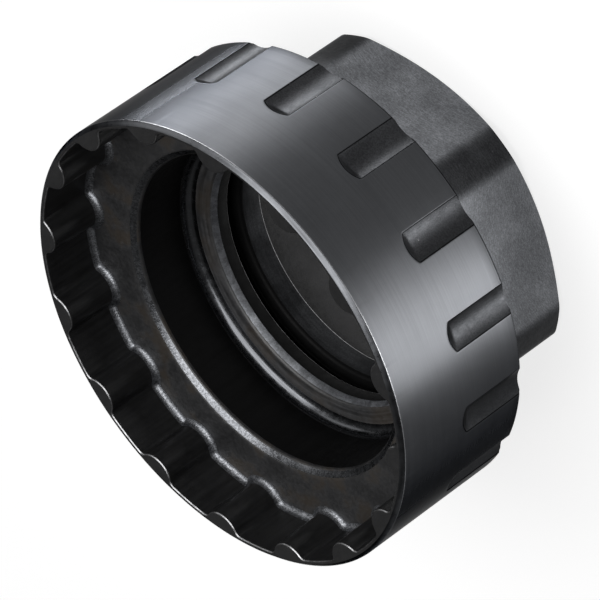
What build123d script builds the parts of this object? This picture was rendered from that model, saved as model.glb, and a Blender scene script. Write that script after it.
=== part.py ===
"""Chainring lockring tool: one turned and milled steel socket, standing on its hexagonal end."""

import math
import os

from build123d import *

# barrel: the large round body with the drive notches
barrel_radius = 22.0
barrel_length = 14.9
front_edge_chamfer = 0.35
rear_edge_chamfer = 0.2

# hexagonal end, with turned corners and a bevelled end face; its wall makes it 32 across the flats
hex_side_count = 6
hex_wall = 2.6
hex_length = 10.8
hex_corner_rise = 1.6
hex_corner_fillet = 2.0
hex_root_fillet = 0.3
end_face_inset = 0.15
end_bevel_angle = 30.0

# toothed socket in the front face: round-nosed teeth pointing inwards
tooth_count = 16
tooth_nose_radius = 1.95
tooth_height = 1.4
tooth_edge_bevel = 0.15
socket_wall = 0.7
socket_root_fillet = 0.6
socket_depth = 5.6
socket_floor_bevel = 0.4

# stepped bore behind the socket: recess, step, relief groove, guiding land and rear bore
land_radius = 12.2
land_length = 2.5
land_edge_fillet = 0.4
step_relief = 0.5
step_length = 2.1
step_mouth_rise = 0.4
step_mouth_depth = 0.8
groove_undercut = 0.9
groove_width = 1.0
recess_ledge = 2.9
recess_length = 6.7
recess_mouth_rise = 0.8
recess_mouth_depth = 0.6
recess_floor_fillet = 1.0
rear_bore_relief = 1.2
rear_bore_chamfer = 0.4

# drive notches round the barrel, open at its rear face
notch_count = 16
notch_width = 3.0
notch_depth = 0.5
notch_length = 7.4
notch_end_radius = 2.5
notch_run_out = 0.9

# distance a cutting shape runs past the face that it opens
overrun = 1.0
floor_overrun = 0.1

# how near to a height an edge lies that is chosen by that height
height_slack = 0.01

# heights above the end face that the tool stands on
shoulder_z = hex_length
front_z = hex_length + barrel_length
socket_floor_z = front_z - socket_depth
recess_mouth_z = socket_floor_z - recess_mouth_depth
recess_floor_z = socket_floor_z - recess_length
step_mouth_z = recess_floor_z - step_mouth_depth
groove_front_z = recess_floor_z - step_length
groove_rear_z = groove_front_z - groove_width
land_rear_z = groove_rear_z - land_length

# radii of the socket, counted in from the barrel, and of the bore, counted out from the land
socket_root_radius = barrel_radius - socket_wall
tooth_tip_radius = socket_root_radius - tooth_height
step_radius = land_radius + step_relief
groove_radius = step_radius + groove_undercut
recess_radius = step_radius + recess_ledge
recess_mouth_radius = recess_radius + recess_mouth_rise
rear_bore_radius = land_radius + rear_bore_relief

# radii of the hexagonal end, and the cone that bevels its end face and leaves a flat disc to stand on
hex_flat_radius = rear_bore_radius + hex_wall
hex_corner_radius = hex_flat_radius + hex_corner_rise
end_face_radius = hex_flat_radius - end_face_inset
bevel_outer_radius = hex_corner_radius + overrun
bevel_rise = (bevel_outer_radius - end_face_radius) * math.tan(math.radians(end_bevel_angle))

# section of one notch: the arc through both of its edges and its lowest point
notch_edge_x = math.sqrt(barrel_radius**2 - (notch_width / 2) ** 2)
notch_floor_x = barrel_radius - notch_depth
notch_sag = notch_edge_x - notch_floor_x
trough_radius = ((notch_width / 2) ** 2 + notch_sag**2) / (2 * notch_sag)
trough_x = notch_floor_x + trough_radius

# closed end of one notch: a cone on a radial axis, wide at the skin and narrower at the notch floor
notch_rear_z = shoulder_z - overrun
notch_end_z = shoulder_z + notch_length - notch_end_radius
run_out_slope = notch_run_out / notch_depth
run_out_inner_x = notch_floor_x - floor_overrun
run_out_outer_x = barrel_radius + overrun
run_out_inner_radius = notch_end_radius - (barrel_radius - run_out_inner_x) * run_out_slope
run_out_outer_radius = notch_end_radius + (run_out_outer_x - barrel_radius) * run_out_slope



def edges_at(part, height):
    """The edges of a part whose middles lie at one height."""
    return part.edges().filter_by_position(Axis.Z, height - height_slack, height + height_slack)


# envelope of a notch: the cone rounds and ramps the closed end, a block keeps the rest open
with BuildPart() as notch_envelope:
    with BuildSketch(Plane.XZ):
        with BuildLine():
            Polyline(
                (run_out_inner_x, notch_end_z),
                (run_out_outer_x, notch_end_z),
                (run_out_outer_x, notch_end_z + run_out_outer_radius),
                (run_out_inner_x, notch_end_z + run_out_inner_radius),
                close=True,
            )
        make_face()
    revolve(axis=Axis((0, 0, notch_end_z), (1, 0, 0)))
    with BuildSketch(Plane.XY.offset(notch_rear_z)):
        with Locations(((run_out_inner_x + run_out_outer_x) / 2, 0)):
            Rectangle(run_out_outer_x - run_out_inner_x, 2 * run_out_outer_radius)
    extrude(amount=notch_end_z - notch_rear_z)

# one notch: a round-bottomed trough along the barrel, kept inside that envelope
with BuildPart() as notch_cutter:
    with BuildSketch(Plane.XY.offset(notch_rear_z)):
        with Locations((trough_x, 0)):
            Circle(trough_radius)
    extrude(amount=front_z - notch_rear_z)
    add(notch_envelope.part, mode=Mode.INTERSECT)

with BuildPart() as lockring_tool:
    # barrel, with a bright bevel at the front rim and a small one at the shoulder
    with BuildSketch(Plane.XY.offset(shoulder_z)):
        Circle(barrel_radius)
    extrude(amount=barrel_length)
    barrel_rims = lockring_tool.edges().filter_by(GeomType.CIRCLE).sort_by(Axis.Z)
    chamfer(barrel_rims[-1], length=front_edge_chamfer)
    chamfer(barrel_rims[0], length=rear_edge_chamfer)

    # hexagonal end below the shoulder, its corners turned to one radius and eased into the flats
    with BuildSketch(Plane.XY) as hex_section:
        RegularPolygon(radius=hex_flat_radius, side_count=hex_side_count, major_radius=False, rotation=30)
        Circle(hex_corner_radius, mode=Mode.INTERSECT)
        fillet(hex_section.vertices(), radius=hex_corner_fillet)
    extrude(amount=hex_length)
    shoulder_edges = edges_at(lockring_tool, shoulder_z).sort_by(SortBy.LENGTH)
    fillet(shoulder_edges[:-1], radius=hex_root_fillet)

    # bevel round the end face
    with BuildSketch(Plane.XZ):
        with BuildLine():
            Polyline(
                (end_face_radius, 0),
                (bevel_outer_radius, 0),
                (bevel_outer_radius, bevel_rise),
                close=True,
            )
        make_face()
    revolve(axis=Axis.Z, mode=Mode.SUBTRACT)

    # toothed socket: a round pocket that leaves the teeth standing, bevelled at its floor and its mouth
    with BuildSketch(Plane.XY.offset(socket_floor_z)) as socket_section:
        Circle(socket_root_radius)
        with PolarLocations(tooth_tip_radius + tooth_nose_radius, tooth_count):
            Circle(tooth_nose_radius, mode=Mode.SUBTRACT)
        fillet(socket_section.vertices(), radius=socket_root_fillet)
    extrude(amount=socket_depth, mode=Mode.SUBTRACT)
    chamfer(edges_at(lockring_tool, socket_floor_z), length=socket_floor_bevel)
    front_edges = edges_at(lockring_tool, front_z).sort_by(SortBy.LENGTH)
    chamfer(front_edges[:-1], length=tooth_edge_bevel)

    # stepped bore, turned as one section
    with BuildSketch(Plane.XZ):
        with BuildLine():
            Polyline(
                (0, front_z),
                (recess_mouth_radius, front_z),
                (recess_mouth_radius, socket_floor_z),
                (recess_radius, recess_mouth_z),
                (recess_radius, recess_floor_z),
                (step_radius + step_mouth_rise, recess_floor_z),
                (step_radius, step_mouth_z),
                (step_radius, groove_front_z),
                (groove_radius, groove_front_z),
                (groove_radius, groove_rear_z),
                (land_radius, groove_rear_z),
                (land_radius, land_rear_z),
                (rear_bore_radius, land_rear_z),
                (rear_bore_radius, -overrun),
                (0, -overrun),
                close=True,
            )
        make_face()
    revolve(axis=Axis.Z, mode=Mode.SUBTRACT)
    fillet(edges_at(lockring_tool, recess_floor_z).sort_by(SortBy.RADIUS)[-1], radius=recess_floor_fillet)
    fillet(edges_at(lockring_tool, groove_rear_z).sort_by(SortBy.RADIUS)[0], radius=land_edge_fillet)
    chamfer(edges_at(lockring_tool, 0).sort_by(SortBy.RADIUS)[0], length=rear_bore_chamfer)

    # drive notches, one in line with every tooth
    with PolarLocations(0, notch_count):
        add(notch_cutter.part, mode=Mode.SUBTRACT)

lockring_tool.part.label = "lockring_tool"

os.makedirs("parts", exist_ok=True)
export_step(lockring_tool.part, "parts/lockring_tool.step")
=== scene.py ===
"""Dresses the chainring lockring tool and sets up its studio, laid out as a Blender add-on."""

import math

import bpy
import numpy as np
from mathutils import Matrix, Vector


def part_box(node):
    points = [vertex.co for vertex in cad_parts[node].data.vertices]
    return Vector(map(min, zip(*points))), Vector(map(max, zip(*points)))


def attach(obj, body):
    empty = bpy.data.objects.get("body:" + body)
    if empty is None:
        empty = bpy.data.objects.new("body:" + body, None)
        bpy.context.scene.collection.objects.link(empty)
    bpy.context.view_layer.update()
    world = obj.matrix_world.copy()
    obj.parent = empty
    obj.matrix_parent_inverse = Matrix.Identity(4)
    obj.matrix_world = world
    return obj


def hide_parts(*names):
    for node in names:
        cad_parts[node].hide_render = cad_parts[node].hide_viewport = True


bl_info = {
    "name": "Chainring lockring tool",
    "version": (1, 0, 0),
    "blender": (4, 5, 0),
    "location": "3D View > Sidebar > Lockring tool",
    "description": "Builds the dressed lockring tool, its finishes and its studio",
    "category": "Object",
}

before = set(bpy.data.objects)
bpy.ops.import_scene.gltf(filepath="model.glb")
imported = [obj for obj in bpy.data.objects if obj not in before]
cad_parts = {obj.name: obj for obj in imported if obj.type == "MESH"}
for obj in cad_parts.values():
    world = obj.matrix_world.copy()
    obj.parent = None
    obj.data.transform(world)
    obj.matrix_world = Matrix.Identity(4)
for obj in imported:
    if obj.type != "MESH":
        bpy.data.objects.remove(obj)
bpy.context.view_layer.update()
_, tool_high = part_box("lockring_tool")

PIECE = "lockring_tool_body"
MM = 0.001

# sizes in millimetres that both the shape and the finishes follow
BARREL_RADIUS = tool_high.x / MM
FRONT_Z = tool_high.z / MM
FRONT_BEVEL = 0.35
HEX_CORNER_RADIUS = 17.6

# columns of the mesh: one tooth pitch and one side of the hexagon each hold a whole number of them
TOOTH_COUNT = 16
HEX_SIDES = 6
NOSE_COLUMNS = 12
FILLET_COLUMNS = 5
ROOT_COLUMNS = 7
HALF_COLUMNS = NOSE_COLUMNS + FILLET_COLUMNS + ROOT_COLUMNS
STEP = math.pi / (TOOTH_COUNT * HALF_COLUMNS)
HEX_COLUMNS = 2 * TOOTH_COUNT * HALF_COLUMNS // HEX_SIDES
HALF_PITCH = math.pi / TOOTH_COUNT

# columns of the barrel inside a notch, and those beside the notch's edge in degrees from it
NOTCH_COLUMNS = 8
NOTCH_EDGE_COLUMNS = (-0.25, -0.1, 0, 0.1, 0.25)

# rows of the barrel in millimetres from the shoulder, from a notch's closed end and from the front face
SHOULDER_ROWS = (1.2, 3.2)
NOTCH_END_ROWS = (-2.0, -1.35, -1.1, -0.92, -0.76, -0.6, -0.45, -0.3, -0.17, -0.07, 0, 0.07, 0.2, 0.8)
FRONT_ROW = 3.5

# a notch's edge in millimetres: its rounding, the depth where its finish starts, and where the painted shade
# along its rim ends
NOTCH_SOFTNESS = 0.035
NOTCH_SKIN_DEPTH = 0.005
NOTCH_RIM_DEPTH = 0.07

# roundings of the small edges and corners in millimetres
KEEN_EDGE = 0.05
BEVEL_EDGE = 0.06
GROOVE_EDGE = 0.08
LAND_REAR_EDGE = 0.1
TOOTH_EDGE = 0.13
GROOVE_CORNER = 0.2
REAR_BORE_CORNER = 0.3
BEVEL_MOUTH_EDGE = 0.4
SOCKET_FLOOR_EDGE = 0.6

# how far past an edge a row lies that keeps the face beyond it flat, in millimetres
SHOULDER_HOLD = 0.1
FRONT_HOLD = 0.07
TOOTH_HOLD = 0.09
SOCKET_FLOOR_HOLD = 0.02
END_HOLD = 0.05

# how far the rings on the shoulder and on the socket's floor lie from the edges there, in millimetres
SHOULDER_RING = 1.4
FLOOR_RING = 1.0

# the hexagon's bevel: the largest share of it that a soft edge takes, and the first and last row in its soft
# edges, as steps aside and upwards in shares of the softness
HEX_SOFT_SHARE = 0.3
HEX_DIP = (0.1, 0.2)
HEX_CREST = (0.15, 0.1)

# rows of the hexagon in millimetres from the end face and from its root, and steps of the fillet at its root
HEX_FIRST_ROW = 1.4
HEX_LAST_ROW = 0.4
HEX_ROOT_STEPS = 4

# the two kinds of sector, the rings in millimetres where they meet, and how near their points are welded
SECTOR_KINDS = ("Pitch", "Side")
SHOULDER_SEAM = 18.6
END_SEAM = 15.0
WELD = 0.002


def length(name, description, default_mm):
    """A size given in millimetres and kept as a length."""
    return bpy.props.FloatProperty(
        name=name, description=description, default=default_mm * MM, unit="LENGTH", precision=5
    )


def angle(name, description, default_degrees):
    """An angle given in degrees and kept as an angle."""
    return bpy.props.FloatProperty(
        name=name, description=description, default=math.radians(default_degrees), subtype="ANGLE"
    )


def colour(name, description, default):
    """A linear colour without alpha."""
    return bpy.props.FloatVectorProperty(
        name=name, description=description, default=default, size=3, min=0, max=1, subtype="COLOR"
    )


class BarrelSizes(bpy.types.PropertyGroup):
    """Sizes of the round barrel and its drive notches."""

    radius: length("Radius", "Radius of the barrel", BARREL_RADIUS)
    length: length("Length", "Length of the barrel", 14.9)
    front_bevel: length("Front bevel", "Bevel at the front rim", FRONT_BEVEL)
    rear_bevel: length("Rear bevel", "Bevel at the shoulder's rim", 0.2)
    notch_width: length("Notch width", "Width of a drive notch", 3.0)
    notch_depth: length("Notch depth", "Depth of a drive notch", 0.5)
    notch_length: length("Notch length", "Length of a drive notch from the shoulder", 7.4)
    notch_end_radius: length("Notch end radius", "Radius of the notch's closed end", 2.5)
    notch_run_out: length("Notch run-out", "Length of the ramp at the closed end", 0.9)


class SocketSizes(bpy.types.PropertyGroup):
    """Sizes of the toothed socket."""

    root_radius: length("Root radius", "Radius between the teeth", 21.3)
    tip_radius: length("Tip radius", "Radius at the tips of the teeth", 19.9)
    nose_radius: length("Nose radius", "Radius of a tooth's round nose", 1.95)
    root_fillet: length("Root fillet", "Fillet between a tooth and the root", 0.6)
    edge_bevel: length("Edge bevel", "Bevel round the teeth at the front face", 0.15)
    depth: length("Depth", "Depth of the socket", 5.6)
    floor_fillet: length("Floor fillet", "Rounding between the wall and the floor", 0.55)
    fillet_rise: length("Fillet rise", "How far that rounding runs up the wall", 0.8)


class BoreSizes(bpy.types.PropertyGroup):
    """Sizes of the stepped bore, with its depths counted from the front face."""

    mouth_radius: length("Mouth radius", "Radius of the recess mouth's bevel", 16.4)
    mouth_depth: length("Mouth depth", "Depth where the mouth's bevel ends", 6.2)
    recess_radius: length("Recess radius", "Radius of the recess", 15.6)
    recess_depth: length("Recess depth", "Depth of the recess floor", 12.3)
    recess_fillet: length("Recess fillet", "Rounding of the recess floor's corner", 1.0)
    step_mouth_radius: length("Step mouth radius", "Radius of the step's bevel", 13.1)
    step_mouth_depth: length("Step mouth depth", "Depth where the step's bevel ends", 13.1)
    step_radius: length("Step radius", "Radius of the step", 12.7)
    groove_start: length("Groove start", "Depth where the relief groove starts", 14.4)
    groove_end: length("Groove end", "Depth where the relief groove ends", 15.4)
    groove_radius: length("Groove radius", "Radius of the relief groove", 13.6)
    land_radius: length("Land radius", "Radius of the guiding land", 12.2)
    land_end: length("Land end", "Depth where the land ends", 17.9)
    land_fillet: length("Land fillet", "Rounding of the land's front edge", 0.4)
    rear_radius: length("Rear radius", "Radius of the rear bore", 13.4)
    rear_bevel: length("Rear bevel", "Bevel at the rear bore's mouth", 0.4)


class HexagonSizes(bpy.types.PropertyGroup):
    """Sizes of the hexagonal end."""

    across_flats: length("Across flats", "Width across the flats", 32.0)
    corner_radius: length("Corner radius", "Radius to which the corners are turned", HEX_CORNER_RADIUS)
    corner_fillet: length("Corner fillet", "Rounding between a flat and a turned corner", 2.0)
    root_fillet: length("Root fillet", "Fillet where the hexagon meets the shoulder", 0.3)
    end_radius: length("End radius", "Radius of the flat end face", 15.85)
    bevel_angle: angle("Bevel angle", "Angle of the end bevel from the end face", 30)


class FinishColours(bpy.types.PropertyGroup):
    """Colours of the tool's finishes and of the studio's floor."""

    oxide: colour("Oxide", "Black oxide on the turned surfaces", (0.0252, 0.026, 0.0277))
    matt_oxide: colour("Matt oxide", "Matt black oxide in the socket", (0.026, 0.026, 0.027))
    brown_oxide: colour("Brown oxide", "Thin brownish oxide on the socket's floor", (0.033, 0.026, 0.019))
    bare_steel: colour("Bare steel", "Steel that shows on cut and rubbed edges", (0.45, 0.45, 0.46))
    floor: colour("Floor", "Pale studio floor", (0.3, 0.3, 0.3))


class StudioSettings(bpy.types.PropertyGroup):
    """Where the camera stands and how it is turned."""

    azimuth: angle("Azimuth", "Direction of the camera round the bore's axis", 29.13)
    tilt: angle("Tilt", "Angle between the view and the bore's axis", 57.8)
    heading: angle("Heading", "Direction of the bore's axis in the picture", -35.01)
    distance: length("Distance", "Depth of the front face's centre before the camera", 490.66)
    aim_right: length("Aim right", "How far to the right of that centre the camera aims", 7.243)
    aim_up: length("Aim up", "How far above that centre the camera aims", 4.134)
    lens: bpy.props.FloatProperty(name="Lens", description="Focal length in millimetres", default=342.1)


class ToolSettings(bpy.types.PropertyGroup):
    """All the sizes and colours of the tool and its studio."""

    barrel: bpy.props.PointerProperty(type=BarrelSizes)
    socket: bpy.props.PointerProperty(type=SocketSizes)
    bore: bpy.props.PointerProperty(type=BoreSizes)
    hexagon: bpy.props.PointerProperty(type=HexagonSizes)
    colours: bpy.props.PointerProperty(type=FinishColours)
    studio: bpy.props.PointerProperty(type=StudioSettings)


def measures(group):
    """A group's lengths in millimetres, and its other values as they are."""
    found = {}
    for name in group.__annotations__:
        value = getattr(group, name)
        in_mm = group.bl_rna.properties[name].unit == "LENGTH"
        found[name] = round(value / MM, 5) if in_mm else value
    return found


def smooth_max(a, b, width):
    """The larger of two values, with the crease between them rounded over a width."""
    overlap = np.maximum(width - np.abs(a - b), 0) / width
    return np.maximum(a, b) + overlap**2 * width / 4


def smooth_min(a, b, width):
    """The smaller of two values, with the crease between them rounded over a width."""
    return -smooth_max(-a, -b, width)


def fade(value, start, end):
    """Rises smoothly from 0 at start to 1 at end."""
    t = np.clip((value - start) / (end - start), 0, 1)
    return t * t * (3 - 2 * t)


def rounded(corners):
    """Stations along a section with rounded corners, as first and second coordinate and finish.

    Each corner is (first, second, rounding, steps, finish before it, finish of its arc or of each step).
    """
    points = [Vector(corner[:2]) for corner in corners]
    stations = []
    for index, (*_, rounding, steps, before_finish, arc_finish) in enumerate(corners):
        if not steps:
            stations.append((*points[index], before_finish))
            continue
        before = (points[index - 1] - points[index]).normalized()
        after = (points[index + 1] - points[index]).normalized()
        half_angle = before.angle(after) / 2
        centre = points[index] + (before + after).normalized() * (rounding / math.sin(half_angle))
        reach = rounding / math.tan(half_angle)
        start = points[index] + before * reach - centre
        end = points[index] + after * reach - centre
        turn = math.copysign(math.pi - 2 * half_angle, start.x * end.y - start.y * end.x)
        for step in range(steps + 1):
            spoke = Matrix.Rotation(turn * step / steps, 2) @ start
            finish = before_finish
            if step:
                finish = arc_finish if isinstance(arc_finish, str) else arc_finish[step - 1]
            stations.append((*(centre + spoke), finish))
    return stations


def mirrored(half, sign=1):
    """Values from a middle to an edge, repeated on the other side of the middle."""
    return np.concatenate([sign * half[:0:-1], half])


class SectorMesh:
    """Rows of points across one sector, joined into strips of faces, each face with one finish."""

    def __init__(self, name):
        self.name = name
        self.rows = []
        self.zones = []

    def add(self, x, y, z, zones):
        """Adds a row, given from the sector's middle to its edge; zones are those of the faces before it."""
        x, y, z = np.broadcast_arrays(x, y, z)
        if self.rows:
            self.zones.append(np.broadcast_to(zones, 2 * len(x) - 2))
        self.rows.append(np.stack([mirrored(x), mirrored(y, -1), mirrored(z)], axis=1))

    def build(self):
        """The sector as an object that is never shown, with the finish of each face in an attribute."""
        across = len(self.rows[0])
        corners = np.arange(len(self.rows) * across).reshape(len(self.rows), across)
        faces = np.stack([corners[:-1, :-1], corners[:-1, 1:], corners[1:, 1:], corners[1:, :-1]], axis=-1)
        mesh = bpy.data.meshes.new(self.name)
        mesh.from_pydata((np.concatenate(self.rows) * MM).tolist(), [], faces.reshape(-1, 4).tolist())
        zone = mesh.attributes.new("zone", "INT", "FACE")
        zone.data.foreach_set("value", np.concatenate(self.zones).astype(np.int32))
        return bpy.data.objects.new(self.name, mesh)


def tooth_outline(socket, offset):
    """Half a tooth and half its root, from the tooth's middle on, moved out of the wall by an offset."""
    nose_x = socket["tip_radius"] + socket["nose_radius"]
    fillet_r = socket["root_radius"] - socket["root_fillet"]
    reach = socket["nose_radius"] + socket["root_fillet"]
    fillet_angle = math.acos((fillet_r**2 + nose_x**2 - reach**2) / (2 * fillet_r * nose_x))
    fillet_x = fillet_r * math.cos(fillet_angle)
    fillet_y = fillet_r * math.sin(fillet_angle)
    nose_end = math.atan2(fillet_y, fillet_x - nose_x)
    nose = np.linspace(math.pi, nose_end, NOSE_COLUMNS + 1)
    fillet = np.linspace(nose_end - math.pi, fillet_angle, FILLET_COLUMNS + 1)[1:]
    root = np.linspace(fillet_angle, HALF_PITCH, ROOT_COLUMNS + 1)[1:]
    nose_r = socket["nose_radius"] + offset
    hollow_r = socket["root_fillet"] - offset
    root_r = socket["root_radius"] - offset
    x = [nose_x + nose_r * np.cos(nose), fillet_x + hollow_r * np.cos(fillet), root_r * np.cos(root)]
    y = [nose_r * np.sin(nose), fillet_y + hollow_r * np.sin(fillet), root_r * np.sin(root)]
    return np.concatenate(x), np.concatenate(y)


def notch_columns(barrel):
    """Angles of the barrel's columns, from a notch's middle on, close together at the notch's edge."""
    edge = math.asin(barrel["notch_width"] / 2 / barrel["radius"])
    near = edge + np.radians(NOTCH_EDGE_COLUMNS)
    inner = np.linspace(0, near[0], NOTCH_COLUMNS + 1)[:-1]
    outer = np.linspace(near[-1], HALF_PITCH, HALF_COLUMNS - NOTCH_COLUMNS - len(near) + 2)[1:]
    return np.concatenate([inner, near, outer])


def notch_depth(barrel, angles, heights):
    """How deep the notch is below the barrel's skin, below 0 outside it; heights start at the shoulder."""
    radius = barrel["radius"]
    edge_x = math.sqrt(radius**2 - (barrel["notch_width"] / 2) ** 2)
    floor_x = radius - barrel["notch_depth"]
    sag = edge_x - floor_x
    trough_radius = ((barrel["notch_width"] / 2) ** 2 + sag**2) / (2 * sag)
    trough_x = floor_x + trough_radius
    room = trough_radius**2 - (trough_x * np.sin(angles)) ** 2
    trough = np.where(room > 0, radius - trough_x * np.cos(angles) + np.sqrt(np.maximum(room, 0)), -1)
    centre = barrel["notch_length"] - barrel["notch_end_radius"]
    slope = barrel["notch_run_out"] / barrel["notch_depth"]
    across = radius * np.sin(angles)
    ramp = (barrel["notch_end_radius"] - np.hypot(across, np.maximum(heights - centre, 0))) / slope
    ramp = np.where(heights > centre, ramp, radius)
    return smooth_min(trough, ramp, NOTCH_SOFTNESS)


def notch_end_line(barrel, angles):
    """Height above the shoulder of the notch's closed end, levelling out between the notches."""
    edge_y = barrel["notch_width"] / 2
    across = np.minimum(barrel["radius"] * np.sin(angles), edge_y)
    centre = barrel["notch_length"] - barrel["notch_end_radius"]
    line = centre + np.sqrt(barrel["notch_end_radius"] ** 2 - across**2)
    level = fade(angles, math.asin(edge_y / barrel["radius"]), HALF_PITCH)
    return line + (barrel["notch_length"] - line) * level


def barrel_rows(sector, barrel, shoulder_z):
    """Adds the shoulder's edge, the notched barrel and its front bevel."""
    notched = notch_columns(barrel)

    def skin(inset, heights, zone):
        """Adds a row of the barrel's surface, sunk where a notch is."""
        depth = notch_depth(barrel, notched, heights)
        radius = barrel["radius"] - smooth_max(depth, inset, NOTCH_SOFTNESS)
        cut = mirrored(depth) > NOTCH_SKIN_DEPTH
        # a thin painted dark outline along the notch's rim
        near = mirrored(depth) < NOTCH_RIM_DEPTH
        zones = np.where(near[:-1] & near[1:], ZONE["dark_edge"], ZONE["notch_floor"])
        zones = np.where(cut[:-1] | cut[1:], zones, ZONE[zone])
        sector.add(radius * np.cos(notched), radius * np.sin(notched), shoulder_z + heights, zones)

    rear_bevel, front_bevel, top = barrel["rear_bevel"], barrel["front_bevel"], barrel["length"]
    first_row, second_row = SHOULDER_ROWS
    # the shoulder's rim gets a thin painted dark outline
    rear = [
        (rear_bevel + SHOULDER_HOLD, 0, 0, 0, "hexagon_skin", None),
        (rear_bevel, 0, KEEN_EDGE, 2, "hexagon_skin", "dark_edge"),
        (0, rear_bevel, KEEN_EDGE, 2, "dark_edge", "dark_edge"),
        (0, first_row, 0, 0, "turned_barrel", None),
    ]
    for inset, height, zone in rounded(rear):
        skin(inset, height, zone)
    skin(0, second_row, "turned_barrel")
    end_line = notch_end_line(barrel, notched)
    for offset in NOTCH_END_ROWS:
        skin(0, end_line + offset, "turned_barrel")
    front = [
        (0, top - FRONT_ROW, 0, 0, "turned_barrel", None),
        (0, top - front_bevel, BEVEL_EDGE, 3, "turned_barrel", "cut_bevel"),
        (front_bevel, top, KEEN_EDGE, 3, "cut_bevel", "cut_bevel"),
        (front_bevel + FRONT_HOLD, top, 0, 0, "tooth_face", None),
    ]
    for inset, height, zone in rounded(front):
        skin(inset, height, zone)


def socket_rows(sector, socket, front_z, floor_z):
    """Adds the teeth's edge at the front face, the socket's wall and the rounding at its floor."""
    bevel, fillet = socket["edge_bevel"], socket["floor_fillet"]
    blended = ("socket_wall", *["socket_corner"] * 4)
    section = [
        (-bevel - TOOTH_HOLD, front_z, 0, 0, "tooth_face", None),
        (-bevel, front_z, TOOTH_EDGE, 2, "tooth_face", "tooth_face"),
        (0, front_z - bevel, TOOTH_EDGE, 2, "rubbed_edge", "socket_wall"),
        (0, floor_z, fillet, len(blended), "socket_wall", blended),
        (fillet + SOCKET_FLOOR_HOLD, floor_z, 0, 0, "socket_floor", None),
    ]
    for offset, z, zone in rounded(section):
        rise = z - floor_z
        # the rounding at the floor is stretched up the wall
        if rise < fillet + WELD:
            rise *= socket["fillet_rise"] / fillet
        sector.add(*tooth_outline(socket, offset), floor_z + rise, ZONE[zone])


def bore_section(bore, front_z, floor_z):
    """Corners of the bore's section, from the socket's floor to the end face."""
    recess_z = front_z - bore["recess_depth"]
    groove_z = front_z - bore["groove_start"]
    land_z = front_z - bore["groove_end"]
    rear_z = front_z - bore["land_end"]
    mouth_z = front_z - bore["mouth_depth"]
    step_z = front_z - bore["step_mouth_depth"]
    bevel = bore["rear_bevel"]
    return [
        (bore["mouth_radius"] + FLOOR_RING, floor_z, 0, 0, "socket_floor", None),
        (bore["mouth_radius"], floor_z, SOCKET_FLOOR_EDGE, 3, "socket_floor", "socket_floor"),
        (bore["recess_radius"], mouth_z, BEVEL_MOUTH_EDGE, 3, "mouth_bevel", "socket_floor"),
        (bore["recess_radius"], recess_z, bore["recess_fillet"], 7, "recess_wall", "recess_corner"),
        (bore["step_mouth_radius"], recess_z, BEVEL_MOUTH_EDGE, 4, "recess_floor", "recess_floor"),
        (bore["step_radius"], step_z, BEVEL_EDGE, 2, "step_bevel", "step_bevel"),
        (bore["step_radius"], groove_z, GROOVE_EDGE, 2, "recess_wall", "rubbed_edge"),
        (bore["groove_radius"], groove_z, GROOVE_CORNER, 3, "relief_groove", "relief_groove"),
        (bore["groove_radius"], land_z, GROOVE_CORNER, 3, "relief_groove", "relief_groove"),
        (bore["land_radius"], land_z, bore["land_fillet"], 5, "relief_groove", "relief_groove"),
        (bore["land_radius"], rear_z, LAND_REAR_EDGE, 3, "guide_land", "rubbed_edge"),
        (bore["rear_radius"], rear_z, REAR_BORE_CORNER, 3, "rear_bore", "rear_bore"),
        (bore["rear_radius"], bevel, KEEN_EDGE, 2, "rear_bore", "cut_bevel"),
        (bore["rear_radius"] + bevel, 0, KEEN_EDGE, 2, "cut_bevel", "cut_bevel"),
        (END_SEAM, 0, 0, 0, "hexagon_skin", None),
    ]


def pitch_sector(sizes, front_z, shoulder_z):
    """One tooth pitch of everything but the hexagon, from the shoulder round the section to the end face."""
    barrel, socket, bore = sizes["barrel"], sizes["socket"], sizes["bore"]
    sector = SectorMesh("pitch_sector")
    even = np.arange(HALF_COLUMNS + 1) * STEP

    def ring(radius, z, angles, zone):
        """Adds a row that lies on a circle."""
        sector.add(radius * np.cos(angles), radius * np.sin(angles), z, ZONE[zone])

    ring(SHOULDER_SEAM, shoulder_z, even, "hexagon_skin")
    ring(barrel["radius"] - SHOULDER_RING, shoulder_z, (even + notch_columns(barrel)) / 2, "hexagon_skin")
    barrel_rows(sector, barrel, shoulder_z)
    floor_z = front_z - socket["depth"]
    socket_rows(sector, socket, front_z, floor_z)
    outline_x, outline_y = tooth_outline(socket, 0)
    toothed = np.arctan2(outline_y, outline_x)
    ring(socket["tip_radius"] - FLOOR_RING, floor_z, (even + toothed) / 2, "socket_floor")
    for radius, z, zone in rounded(bore_section(bore, front_z, floor_z)):
        ring(radius, z, even, zone)
    return sector.build()


def hexagon_outline(hexagon):
    """Radii of half a side of the hexagon, from the flat's middle to the turned corner's."""
    angles = np.arange(HEX_COLUMNS // 2 + 1) * STEP
    flat_x = hexagon["across_flats"] / 2
    fillet = hexagon["corner_fillet"]
    centre_x = flat_x - fillet
    centre_r = hexagon["corner_radius"] - fillet
    centre_angle = math.acos(centre_x / centre_r)
    flat_end = math.atan2(centre_r * math.sin(centre_angle), flat_x)
    along = centre_r * np.cos(angles - centre_angle)
    aside = centre_r * np.sin(angles - centre_angle)
    eased = along + np.sqrt(fillet**2 - np.minimum(np.abs(aside), fillet) ** 2)
    radii = np.where(angles < flat_end, flat_x / np.cos(angles), eased)
    return angles, np.where(angles > centre_angle, hexagon["corner_radius"], radii)


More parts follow.
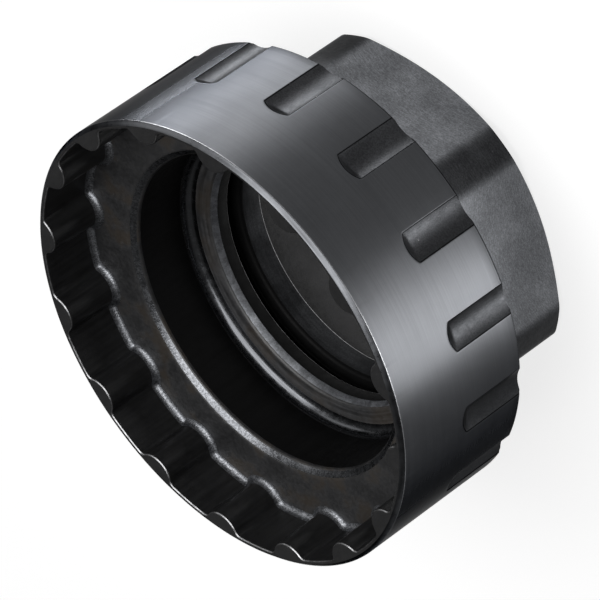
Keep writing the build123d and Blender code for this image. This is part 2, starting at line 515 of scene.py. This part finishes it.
def side_sector(sizes, shoulder_z):
    """One side of the hexagon, from the end face over its bevel and flank to the shoulder."""
    hexagon = sizes["hexagon"]
    angles, radii = hexagon_outline(hexagon)
    end, root = hexagon["end_radius"], hexagon["root_fillet"]
    slope = math.tan(hexagon["bevel_angle"])
    reach = radii - end
    edge_z = reach * slope
    soft = np.minimum(BEVEL_EDGE, reach * HEX_SOFT_SHARE)
    rows = [
        (END_SEAM, 0),
        (end - END_HOLD, 0),
        (end + HEX_DIP[0] * soft, HEX_DIP[1] * soft * slope),
        (end + soft, soft * slope),
        (radii - soft, edge_z - soft * slope),
        (radii - HEX_CREST[0] * soft, edge_z + HEX_CREST[1] * soft),
        (radii, edge_z + soft),
        (radii, np.maximum(edge_z + soft, HEX_FIRST_ROW)),
        (radii, shoulder_z / 2),
        (radii, shoulder_z - root - HEX_LAST_ROW),
    ]
    for turn in np.linspace(0, math.pi / 2, HEX_ROOT_STEPS + 1):
        rows.append((radii + root * (1 - math.cos(turn)), shoulder_z - root * (1 - math.sin(turn))))
    rows.append((SHOULDER_SEAM, shoulder_z))
    sector = SectorMesh("side_sector")
    for radius, z in rows:
        sector.add(radius * np.cos(angles), radius * np.sin(angles), z, ZONE["hexagon_skin"])
    return sector.build()


class NodeBench:
    """Adds nodes to a tree, with their inputs set or linked in the same breath."""

    def __init__(self, tree):
        self.tree = tree

    def fill(self, node, inputs):
        """Sets or links a node's inputs."""
        for name, value in dict(inputs).items():
            if isinstance(value, bpy.types.NodeSocket):
                self.tree.links.new(value, node.inputs[name])
            else:
                node.inputs[name].default_value = value
        return node

    def add(self, kind, inputs=(), **settings):
        """A new node with its settings made and its inputs filled."""
        node = self.tree.nodes.new(kind)
        for name, value in settings.items():
            setattr(node, name, value)
        return self.fill(node, inputs)

    def math(self, operation, *values, clamp=False):
        """The result of one operation on one to three values."""
        node = self.add("ShaderNodeMath", enumerate(values), operation=operation, use_clamp=clamp)
        return node.outputs[0]

    def vector(self, operation, inputs, output="Vector"):
        """The result of one operation on vectors."""
        return self.add("ShaderNodeVectorMath", inputs, operation=operation).outputs[output]

    def ramp(self, value, start, end, low=0.0, high=1.0):
        """A value carried from one range to another, held at its ends."""
        inputs = {"Value": value, "From Min": start, "From Max": end, "To Min": low, "To Max": high}
        return self.add("ShaderNodeMapRange", inputs, interpolation_type="SMOOTHSTEP").outputs[0]

    def noise(self, vector, scale, detail, roughness):
        """Smooth noise over a vector."""
        inputs = {"Vector": vector, "Scale": scale, "Detail": detail, "Roughness": roughness}
        return self.add("ShaderNodeTexNoise", inputs).outputs["Fac"]

    def blend(self, first, second, share):
        """A colour that turns into a second one by a share."""
        inputs = {"Factor": share, "A": first, "B": (*second, 1)}
        return self.add("ShaderNodeMix", inputs, data_type="RGBA").outputs["Result"]


# a position along the section is the height plus this share of the radius
RADIUS_SHARE = 0.83

# the level of noise where a speck starts, how far the Specks input lowers it, and how sharply it starts
SPECK_LEVEL = 0.8
SPECK_SPREAD = 0.3
SPECK_KEENNESS = 12.0

# how much finer the mottling is than the clouds
MOTTLING_FINENESS = 7.0

# an edge's wear: how ragged it is, its patches per millimetre, and the share of its reach where it is whole
WEAR_RAGGEDNESS = 1.2
WEAR_PATCHES = 6.0
WEAR_CORE = 0.25

# painted shade at a turned corner, standing in for a dark reflection: the cosine of six times the direction
# where it starts, and the gap in millimetres from its radius where it is whole
CORNER_START = -0.6
CORNER_CORE = 0.1

# the part of a noise's range that shows, and the part that shows as stain
NOISE_SPAN = (0.3, 0.7)
STAIN_SPAN = (0.5, 0.68)

# how strong the mottling is beside the clouds, and how far streaks are turned to run round the axis
MOTTLING_SHARE = 0.5
QUARTER_TURN = 0.25


def effect(name, **inputs):
    """A new shader node group's bench, and what its named number inputs give."""
    tree = bpy.data.node_groups.new(name, "ShaderNodeTree")
    for label, value in inputs.items():
        socket = tree.interface.new_socket(label, in_out="INPUT", socket_type="NodeSocketFloat")
        socket.default_value = value
    bench = NodeBench(tree)
    return bench, bench.add("NodeGroupInput").outputs


def finished(bench, **outputs):
    """The group on a bench, with its named number outputs."""
    for label in outputs:
        bench.tree.interface.new_socket(label, in_out="OUTPUT", socket_type="NodeSocketFloat")
    bench.add("NodeGroupOutput", outputs)
    return bench.tree


def shaded_point(bench):
    """The shaded point in millimetres."""
    place = bench.add("ShaderNodeTexCoord").outputs["Object"]
    return bench.vector("SCALE", {"Vector": place, "Scale": 1 / MM})


def turned_position(bench):
    """Radius and height of the shaded point in millimetres, and its direction from the axis."""
    place = shaded_point(bench)
    flat = bench.vector("MULTIPLY", {0: place, 1: (1, 1, 0)})
    radius = bench.vector("LENGTH", {0: flat}, "Value")
    outward = bench.vector("NORMALIZE", {0: flat})
    height = bench.add("ShaderNodeSeparateXYZ", {0: place}).outputs["Z"]
    return radius, height, outward


def turned_noise(bench, position, along_scale, around_scale, detail, roughness):
    """Noise with one scale along the section and another round the axis."""
    radius, height, outward = position
    along = bench.math("MULTIPLY_ADD", radius, RADIUS_SHARE, height)
    along = bench.math("MULTIPLY", along, along_scale)
    around = bench.vector("SCALE", {"Vector": outward, "Scale": around_scale})
    parts = bench.add("ShaderNodeSeparateXYZ", {0: around}).outputs
    spread = bench.add("ShaderNodeCombineXYZ", {"X": parts["X"], "Y": parts["Y"], "Z": along}).outputs[0]
    return bench.noise(spread, 1.0, detail, roughness)


def turning_lines():
    """Lines that a lathe tool leaves round the axis, each fading in and out along its way."""
    bench, given = effect("turning_lines", Spacing=0.15, Waver=3.0)
    scale = bench.math("DIVIDE", 1.0, given["Spacing"])
    lines = turned_noise(bench, turned_position(bench), scale, given["Waver"], detail=2.0, roughness=0.6)
    return finished(bench, Lines=lines)


def chatter_marks():
    """Short marks across a cut edge, side by side round the axis."""
    bench, given = effect("chatter_marks", Width=0.2, Length=1.0)
    radius, height, outward = turned_position(bench)
    along = bench.math("DIVIDE", 1.0, given["Length"])
    around = bench.math("DIVIDE", radius, given["Width"])
    marks = turned_noise(bench, (radius, height, outward), along, around, detail=3.0, roughness=0.6)
    return finished(bench, Marks=marks)


def fine_grain():
    """Grain of the oxide, and the few specks of it that catch the light."""
    bench, given = effect("fine_grain", Size=0.12, Specks=0.3)
    scale = bench.math("DIVIDE", 1.0, given["Size"])
    grain = bench.noise(shaded_point(bench), scale, detail=2.0, roughness=0.65)
    level = bench.math("SUBTRACT", SPECK_LEVEL, bench.math("MULTIPLY", given["Specks"], SPECK_SPREAD))
    specks = bench.math("MULTIPLY", bench.math("SUBTRACT", grain, level), SPECK_KEENNESS, clamp=True)
    return finished(bench, Grain=grain, Specks=specks)


def oxide_clouds():
    """Uneven depth of the oxide over some millimetres, and finer mottling inside it."""
    bench, given = effect("oxide_clouds", Size=5.0)
    place = shaded_point(bench)
    scale = bench.math("DIVIDE", 1.0, given["Size"])
    clouds = bench.noise(place, scale, detail=3.0, roughness=0.5)
    finer = bench.math("MULTIPLY", scale, MOTTLING_FINENESS)
    mottling = bench.noise(place, finer, detail=3.0, roughness=0.6)
    return finished(bench, Clouds=clouds, Mottling=mottling)


def edge_wear():
    """How near the shaded point lies to a turned edge, given by its radius and height in millimetres."""
    bench, given = effect("edge_wear", Radius=BARREL_RADIUS, Height=FRONT_Z, Reach=0.3)
    radius, height, _ = turned_position(bench)
    across = bench.math("SUBTRACT", radius, given["Radius"])
    upward = bench.math("SUBTRACT", height, given["Height"])
    square = bench.math("ADD", bench.math("MULTIPLY", across, across), bench.math("MULTIPLY", upward, upward))
    gap = bench.math("DIVIDE", bench.math("SQRT", square), given["Reach"])
    patches = bench.noise(shaded_point(bench), WEAR_PATCHES, detail=3.0, roughness=0.6)
    ragged = bench.math("MULTIPLY_ADD", patches, WEAR_RAGGEDNESS, -WEAR_RAGGEDNESS / 2)
    return finished(bench, Wear=bench.ramp(bench.math("ADD", gap, ragged), 1.0, WEAR_CORE))


def turned_corners():
    """How near the shaded point lies to the middle of a turned corner of the hexagon, where shade is painted.
    """
    bench, given = effect("turned_corners", Radius=HEX_CORNER_RADIUS, Reach=0.5)
    radius, _, outward = turned_position(bench)
    parts = bench.add("ShaderNodeSeparateXYZ", {0: outward}).outputs
    turn = bench.math("MULTIPLY", bench.math("ARCTAN2", parts["Y"], parts["X"]), HEX_SIDES)
    middle = bench.ramp(bench.math("COSINE", turn), CORNER_START, -1.0)
    gap = bench.math("ABSOLUTE", bench.math("SUBTRACT", radius, given["Radius"]))
    flank = bench.ramp(gap, given["Reach"], CORNER_CORE)
    return finished(bench, Share=bench.math("MULTIPLY", middle, flank))


EFFECTS = (turning_lines, chatter_marks, fine_grain, oxide_clouds, edge_wear, turned_corners)


# what a finish has unless it says otherwise, with all lengths in millimetres: streak is how far its mirroring
# is drawn out, edge how bright it stays at a grazing view, gloss how much it mirrors where it isn't metallic,
# and waver how often a line fades on its way round
PLAIN_FINISH = {
    "streak": 0.0,
    "edge": 1.0,
    "gloss": 0.5,
    "spacing": 0.15,
    "waver": 3.0,
    "line_depth": 0.0,
    "line_shade": 0.0,
    "grain_size": 0.12,
    "grain_depth": 0.0,
    "grain_shade": 0.0,
    "specks": 0.0,
    "mark_width": 0.2,
    "mark_length": 2.0,
    "mark_depth": 0.0,
    "mark_shade": 0.0,
    "cloud_size": 5.0,
    "cloud_shade": 0.15,
    "cloud_rough": 0.06,
    "stain": 0.0,
    "worn_edge": (),
    "dark_band": (),
}


class Finish:
    """How one finish looks: a colour, its level, metallic share and roughness, and what differs from plain.

    A worn edge is (radius, height, reach, strength), and painted corner shade is (radius, share of light
    left).
    """

    def __init__(self, tint, level, metal, rough, **more):
        self.tint = tint
        self.level = level
        self.metal = metal
        self.rough = rough
        for name, value in PLAIN_FINISH.items():
            setattr(self, name, more.get(name, value))


def dressed_material(name, finish, colours, effects):
    """The material of one finish."""
    material = bpy.data.materials.new(name)
    material.use_nodes = True
    shader = material.node_tree.nodes["Principled BSDF"]
    bench = NodeBench(material.node_tree)
    values = {
        "turning_lines": {"Spacing": finish.spacing, "Waver": finish.waver},
        "fine_grain": {"Size": finish.grain_size, "Specks": finish.specks},
        "chatter_marks": {"Width": finish.mark_width, "Length": finish.mark_length},
        "oxide_clouds": {"Size": finish.cloud_size},
        "turned_corners": dict(zip(("Radius",), finish.dark_band)),
        "edge_wear": dict(zip(("Radius", "Height", "Reach"), finish.worn_edge)),
    }
    placed = {}

    def use(label, output):
        """An output of an effect, which is placed when it is first asked for."""
        if label not in placed:
            placed[label] = bench.add("ShaderNodeGroup", values[label], node_tree=effects[label]).outputs
        return placed[label][output]

    shade, relief = 1.0, 0.0
    for label, output, amount, depth in (
        ("turning_lines", "Lines", finish.line_shade, finish.line_depth),
        ("fine_grain", "Grain", finish.grain_shade, finish.grain_depth),
        ("chatter_marks", "Marks", finish.mark_shade, finish.mark_depth),
        ("oxide_clouds", "Clouds", finish.cloud_shade, 0),
        ("oxide_clouds", "Mottling", finish.cloud_shade * MOTTLING_SHARE, 0),
    ):
        if amount:
            factor = bench.ramp(use(label, output), *NOISE_SPAN, 1 - amount, 1 + amount)
            shade = bench.math("MULTIPLY", shade, factor)
        if depth:
            relief = bench.math("MULTIPLY_ADD", use(label, output), depth * MM, relief)
    # painted shade: darkens the middle of each turned corner of the hexagon, standing in for a dark
    # reflection
    if finish.dark_band:
        painted_shade_factor = bench.ramp(use("turned_corners", "Share"), 0.0, 1.0, 1.0, finish.dark_band[-1])
        shade = bench.math("MULTIPLY", shade, painted_shade_factor)
    tint = [channel * finish.level for channel in getattr(colours, finish.tint)]
    base = bench.vector("SCALE", {"Vector": tint, "Scale": shade})
    if finish.stain:
        patches = bench.ramp(use("oxide_clouds", "Clouds"), *STAIN_SPAN)
        patches = bench.math("MULTIPLY", patches, finish.stain)
        base = bench.blend(base, colours.brown_oxide, patches)
    if finish.specks:
        base = bench.blend(base, colours.bare_steel, use("fine_grain", "Specks"))
    if finish.worn_edge:
        bare = bench.math("MULTIPLY", use("edge_wear", "Wear"), finish.worn_edge[-1])
        base = bench.blend(base, colours.bare_steel, bare)
    smoothest, roughest = finish.rough - finish.cloud_rough, finish.rough + finish.cloud_rough
    bench.fill(shader, {
        "Base Color": base,
        "Roughness": bench.ramp(use("oxide_clouds", "Mottling"), *NOISE_SPAN, smoothest, roughest),
        "Metallic": finish.metal,
        "Specular IOR Level": finish.gloss,
        "Specular Tint": (finish.edge, finish.edge, finish.edge, 1),
        "Anisotropic": finish.streak,
        "Anisotropic Rotation": QUARTER_TURN,
    })
    if relief:
        bump = bench.add("ShaderNodeBump", {"Height": relief, "Strength": 1.0, "Distance": 1.0})
        bench.fill(shader, {"Normal": bump.outputs[0]})
    return material


# finishes of the surface, in the order that the mesh numbers them
FINISH_LOOKS = {
    "turned_barrel": Finish(
        "oxide", 1.65, 1, 0.374, streak=0.05, edge=0.3, spacing=0.08, waver=2.0, line_depth=0.0005,
        line_shade=0.07, cloud_shade=0.04, cloud_rough=0.01,
        worn_edge=(BARREL_RADIUS, FRONT_Z - FRONT_BEVEL, 0.12, 0.25),
    ),
    "cut_bevel": Finish(
        "oxide", 4.6, 1, 0.32, edge=0.2, spacing=0.09, waver=1.5, line_depth=0.003, line_shade=0.5,
        grain_depth=0.001, specks=0.15,
    ),
    "notch_floor": Finish(
        "oxide", 0.95, 1, 0.42, edge=0.5, grain_size=0.14, grain_depth=0.004, grain_shade=0.25, specks=0.08,
    ),
    # painted shade: a thin dark outline along the notches' rims and the shoulder's rim
    "dark_edge": Finish("oxide", 0.25, 1, 0.5, edge=0.3, grain_depth=0.003, specks=0.3),
    "tooth_face": Finish("matt_oxide", 0.5, 0, 0.5, grain_depth=0.005, grain_shade=0.3, specks=0.05),
    "socket_wall": Finish(
        "matt_oxide", 0.45, 0, 0.36, mark_width=0.35, mark_length=9.0, mark_depth=0.012, mark_shade=0.3,
        grain_depth=0.003,
    ),
    "socket_corner": Finish(
        "oxide", 8.5, 1, 0.42, edge=0.8, grain_size=0.15, grain_depth=0.018, grain_shade=0.5, specks=0.5,
    ),
    "socket_floor": Finish(
        "matt_oxide", 1.0, 0, 0.34, grain_depth=0.003, grain_size=0.16, grain_shade=0.15, specks=0.05,
        cloud_size=3.0, cloud_shade=0.32, stain=0.7,
    ),
    "mouth_bevel": Finish(
        "oxide", 6.0, 1, 0.28, edge=0.7, grain_depth=0.004, grain_shade=0.3, specks=0.1, mark_length=1.2,
        mark_depth=0.01, mark_shade=0.35,
    ),
    # painted shade: a near-black, barely glossy copy of the matt oxide on the walls of the recess and the
    # step, deep in the bore
    "recess_wall": Finish(
        "matt_oxide", 0.1, 0, 0.5, gloss=0.12, mark_width=0.5, mark_length=8.0, mark_depth=0.01,
        mark_shade=0.3,
    ),
    "recess_corner": Finish(
        "oxide", 4.5, 1, 0.24, edge=0.8, spacing=0.2, line_depth=0.002, line_shade=0.2,
    ),
    "recess_floor": Finish(
        "matt_oxide", 1.2, 0, 0.38, spacing=0.4, waver=1.2, line_depth=0.035, line_shade=0.45,
        grain_depth=0.003, grain_shade=0.15, cloud_size=4.0, cloud_shade=0.35, stain=0.6,
    ),
    "step_bevel": Finish(
        "oxide", 16.0, 1, 0.42, edge=0.8, grain_depth=0.003, grain_shade=0.2, specks=0.1, mark_width=0.3,
        mark_length=1.0, mark_depth=0.002, mark_shade=0.15,
    ),
    # painted shade: a near-black, barely glossy copy of the matt oxide in the relief groove
    "relief_groove": Finish("matt_oxide", 0.08, 0, 0.6, gloss=0.1, grain_depth=0.004),
    "guide_land": Finish(
        "oxide", 0.9, 1, 0.42, edge=0.6, spacing=0.2, line_depth=0.002, line_shade=0.15, grain_depth=0.004,
        grain_shade=0.25, cloud_size=3.0, cloud_shade=0.35,
    ),
    "rubbed_edge": Finish(
        "bare_steel", 0.6, 1, 0.35, mark_width=0.3, mark_length=0.5, mark_shade=0.4,
    ),
    "rear_bore": Finish(
        "matt_oxide", 1.2, 0, 0.6, grain_size=0.15, grain_depth=0.006, grain_shade=0.3, cloud_size=2.5,
        cloud_shade=0.4,
    ),
    "hexagon_skin": Finish(
        "oxide", 5.2, 1, 0.44, edge=0.6, spacing=0.12, waver=16.0, line_depth=0.003, line_shade=0.1,
        grain_size=0.13, grain_depth=0.005, grain_shade=0.2, specks=0.1, mark_width=0.4, mark_length=0.1,
        mark_depth=0.005, mark_shade=0.2, cloud_size=3.0, cloud_shade=0.16,
        # painted shade: a dark band at each turned corner stands in for a dark reflection
        dark_band=(HEX_CORNER_RADIUS, 0.2),
    ),
}
ZONE = {name: index for index, name in enumerate(FINISH_LOOKS)}


def pattern_tree():
    """Geometry nodes that set the sectors round the axis, weld them and give each finish its material."""
    tree = bpy.data.node_groups.new("sectors_round_the_axis", "GeometryNodeTree")
    face = tree.interface
    face.new_socket("Geometry", in_out="INPUT", socket_type="NodeSocketGeometry")
    for kind in SECTOR_KINDS:
        face.new_socket(kind + " Sector", in_out="INPUT", socket_type="NodeSocketObject")
        face.new_socket(kind + " Count", in_out="INPUT", socket_type="NodeSocketInt")
    face.new_socket("Weld Distance", in_out="INPUT", socket_type="NodeSocketFloat")
    for name in ZONE:
        face.new_socket(name, in_out="INPUT", socket_type="NodeSocketMaterial")
    face.new_socket("Geometry", in_out="OUTPUT", socket_type="NodeSocketGeometry")
    bench = NodeBench(tree)
    given = bench.add("NodeGroupInput").outputs
    join = bench.add("GeometryNodeJoinGeometry")
    for kind in SECTOR_KINDS:
        count = given[kind + " Count"]
        points = bench.add("GeometryNodePoints", {"Count": count})
        share = bench.math("DIVIDE", 2 * math.pi, count)
        index = bench.add("GeometryNodeInputIndex").outputs["Index"]
        about_z = bench.add("ShaderNodeCombineXYZ", {"Z": bench.math("MULTIPLY", index, share)})
        sector = bench.add("GeometryNodeObjectInfo", {"Object": given[kind + " Sector"]})
        instances = bench.add("GeometryNodeInstanceOnPoints", {
            "Points": points.outputs[0],
            "Instance": sector.outputs["Geometry"],
            "Rotation": about_z.outputs[0],
        })
        tree.links.new(instances.outputs[0], join.inputs[0])
    realize = bench.add("GeometryNodeRealizeInstances", {0: join.outputs[0]})
    weld = bench.add(
        "GeometryNodeMergeByDistance", {"Geometry": realize.outputs[0], "Distance": given["Weld Distance"]}
    )
    surface = bench.add("GeometryNodeSetShadeSmooth", {"Geometry": weld.outputs[0]}).outputs[0]
    zone = bench.add("GeometryNodeInputNamedAttribute", {"Name": "zone"}, data_type="INT")
    for name, number in ZONE.items():
        same = bench.add("FunctionNodeCompare", data_type="INT", operation="EQUAL")
        first, second = [socket for socket in same.inputs if socket.type == "INT" and socket.enabled]
        tree.links.new(zone.outputs["Attribute"], first)
        second.default_value = number
        inputs = {"Geometry": surface, "Selection": same.outputs[0], "Material": given[name]}
        surface = bench.add("GeometryNodeSetMaterial", inputs).outputs[0]
    bench.add("NodeGroupOutput", {0: surface})
    return tree


def polar(azimuth, radius, height):
    """A place in metres, given round the bore's axis in degrees and millimetres."""
    turn = math.radians(azimuth)
    return Vector((radius * math.cos(turn), radius * math.sin(turn), height)) * MM


def floor_material(colour):
    """Pale floor that keeps the tool's shadow and is lifted to white where it is seen or mirrored."""
    material = bpy.data.materials.new("floor")
    material.use_nodes = True
    bench = NodeBench(material.node_tree)
    path = bench.add("ShaderNodeLightPath").outputs
    seen = bench.math("MAXIMUM", path["Is Camera Ray"], path["Is Glossy Ray"])
    seen = bench.math("MAXIMUM", seen, path["Is Transmission Ray"])
    bench.fill(material.node_tree.nodes["Principled BSDF"], {
        "Base Color": (*colour, 1),
        "Roughness": FLOOR_ROUGHNESS,
        "Specular IOR Level": 0,
        "Emission Color": (1, 1, 1, 1),
        "Emission Strength": bench.math("MULTIPLY", seen, FLOOR_LIFT),
    })
    return material


# the floor in metres: half its width, and the gap below the tool that keeps it free
FLOOR_REACH = 4.0
FLOOR_GAP = 0.00002
FLOOR_ROUGHNESS = 0.8

# strengths of the floor's own light, where it is seen or mirrored, and of the world's
FLOOR_LIFT = 0.79
WORLD_STRENGTH = 0.1

# nearest thing that the camera shows, in metres
CLIP_START = 0.01

# lamps: name, place and target as azimuth, radius and height, then width, height, radiance and spread,
# with lengths in millimetres and angles in degrees
LAMPS = (
    ("key_box", (62, 240, 500), (0, 0, 15), 640, 420, 3.6, 180),
    ("back_box", (132, 430, 260), (0, 0, 15), 260, 200, 0.9, 180),
    ("side_strip", (-4.2, 38.9, 7.5), (11.6, 22, 18), 19.2, 20.0, 1.07, 44),
    ("side_fill", (9.3, 40.1, 7.7), (18.5, 22, 18), 15.4, 20.0, 0.34, 44),
    ("back_strip", (104.1, 35.5, 9.3), (77.3, 22, 18), 13.4, 20.0, 1.98, 44),
    ("back_fill", (78.8, 34.5, 9.3), (49.5, 22, 18), 11.4, 20.0, 0.8, 45),
)


def place_camera(scene, studio):
    """Stands the camera where the studio's settings say, and turns it to the tool."""
    front = Vector((0, 0, tool_high.z))
    bore_axis = Vector((0, 0, -1))
    towards = Vector((math.cos(studio.azimuth), math.sin(studio.azimuth), 0))
    aside = Vector((-math.sin(studio.azimuth), math.cos(studio.azimuth), 0))
    sin_t, cos_t = math.sin(studio.tilt), math.cos(studio.tilt)
    sin_h, cos_h = math.sin(studio.heading), math.cos(studio.heading)
    forward = cos_t * bore_axis - sin_t * towards
    right = sin_t * cos_h * bore_axis + sin_h * aside + cos_t * cos_h * towards
    down = sin_t * sin_h * bore_axis - cos_h * aside + cos_t * sin_h * towards
    place = front + studio.aim_right * right - studio.aim_up * down - studio.distance * forward
    camera = bpy.data.objects.new("camera", bpy.data.cameras.new("camera"))
    camera.data.lens = studio.lens
    camera.data.clip_start = CLIP_START
    scene.collection.objects.link(camera)
    camera.matrix_world = Matrix.Translation(place) @ Matrix((right, -down, -forward)).transposed().to_4x4()
    scene.camera = camera


def lay_floor(scene, colour):
    """Lays the floor just below the tool."""
    mesh = bpy.data.meshes.new("floor")
    edge = FLOOR_REACH
    corners = [(-edge, -edge, 0), (edge, -edge, 0), (edge, edge, 0), (-edge, edge, 0)]
    mesh.from_pydata(corners, [], [(0, 1, 2, 3)])
    mesh.materials.append(floor_material(colour))
    floor = bpy.data.objects.new("floor", mesh)
    floor.location.z = -FLOOR_GAP
    scene.collection.objects.link(floor)


def light_studio(scene):
    """Lights the world and hangs the lamps."""
    world = bpy.data.worlds.new("studio")
    world.use_nodes = True
    background = world.node_tree.nodes["Background"].inputs
    background["Strength"].default_value = WORLD_STRENGTH
    background["Color"].default_value = (1, 1, 1, 1)
    scene.world = world
    for name, place, target, width, height, radiance, spread in LAMPS:
        lamp = bpy.data.lights.new(name, "AREA")
        lamp.shape = "RECTANGLE"
        lamp.size = width * MM
        lamp.size_y = height * MM
        lamp.spread = math.radians(spread)
        lamp.energy = radiance * math.pi * lamp.size * lamp.size_y
        light = bpy.data.objects.new(name, lamp)
        light.visible_camera = False
        light.location = polar(*place)
        light.rotation_euler = (polar(*target) - light.location).to_track_quat("-Z", "Y").to_euler()
        scene.collection.objects.link(light)


class BuildBody(bpy.types.Operator):
    """Builds the tool's one piece from its sectors"""

    bl_idname = "lockring_tool.build_body"
    bl_label = "Build the body"

    def execute(self, context):
        settings = context.scene.lockring_tool
        sizes = {name: measures(getattr(settings, name)) for name in ("barrel", "socket", "bore", "hexagon")}
        shoulder_z = FRONT_Z - sizes["barrel"]["length"]
        sectors = (pitch_sector(sizes, FRONT_Z, shoulder_z), side_sector(sizes, shoulder_z))
        body = bpy.data.objects.new(PIECE, bpy.data.meshes.new(PIECE))
        context.scene.collection.objects.link(body)
        modifier = body.modifiers.new("sectors", "NODES")
        modifier.node_group = pattern_tree()
        inputs = {item.name: item.identifier for item in modifier.node_group.interface.items_tree}
        for kind, sector, count in zip(SECTOR_KINDS, sectors, (TOOTH_COUNT, HEX_SIDES)):
            modifier[inputs[kind + " Sector"]] = sector
            modifier[inputs[kind + " Count"]] = count
        modifier[inputs["Weld Distance"]] = WELD * MM
        effects = {kind.__name__: kind() for kind in EFFECTS}
        for name, finish in FINISH_LOOKS.items():
            modifier[inputs[name]] = dressed_material(name, finish, settings.colours, effects)
        body.modifiers.new("weighted_normals", "WEIGHTED_NORMAL")
        evaluated = body.evaluated_get(context.evaluated_depsgraph_get())
        mesh = bpy.data.meshes.new_from_object(evaluated)
        body.modifiers.clear()
        body.data = mesh
        mesh.name = PIECE
        for sector in sectors:
            bpy.data.objects.remove(sector)
        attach(body, "root")
        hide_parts("lockring_tool")
        return {"FINISHED"}


class BuildStage(bpy.types.Operator):
    """Sets up the floor, the lights and the camera"""

    bl_idname = "lockring_tool.build_stage"
    bl_label = "Build the stage"

    def execute(self, context):
        settings = context.scene.lockring_tool
        place_camera(context.scene, settings.studio)
        lay_floor(context.scene, settings.colours.floor)
        light_studio(context.scene)
        context.scene.view_settings.view_transform = "Standard"
        return {"FINISHED"}


class LockringToolPanel(bpy.types.Panel):
    """Lists the tool's operators and sizes"""

    bl_idname = "VIEW3D_PT_lockring_tool"
    bl_label = "Lockring tool"
    bl_space_type = "VIEW_3D"
    bl_region_type = "UI"
    bl_category = "Lockring tool"

    def draw(self, context):
        layout = self.layout
        for operator in OPERATORS:
            layout.operator(operator.bl_idname)
        settings = context.scene.lockring_tool
        for name in settings.__annotations__:
            group = getattr(settings, name)
            box = layout.box()
            box.label(text=name.capitalize())
            for value in group.__annotations__:
                box.prop(group, value)


SETTINGS = (BarrelSizes, SocketSizes, BoreSizes, HexagonSizes, FinishColours, StudioSettings, ToolSettings)
OPERATORS = (BuildBody, BuildStage)
CLASSES = (*SETTINGS, *OPERATORS, LockringToolPanel)


def register():
    """Registers the settings, the operators and the panel."""
    for kind in CLASSES:
        bpy.utils.register_class(kind)
    bpy.types.Scene.lockring_tool = bpy.props.PointerProperty(type=ToolSettings)


def unregister():
    """Removes what register added."""
    del bpy.types.Scene.lockring_tool
    for kind in reversed(CLASSES):
        bpy.utils.unregister_class(kind)


def main():
    """Builds everything in order."""
    register()
    bpy.ops.lockring_tool.build_body()
    bpy.ops.lockring_tool.build_stage()


if __name__ == "__main__":
    main()
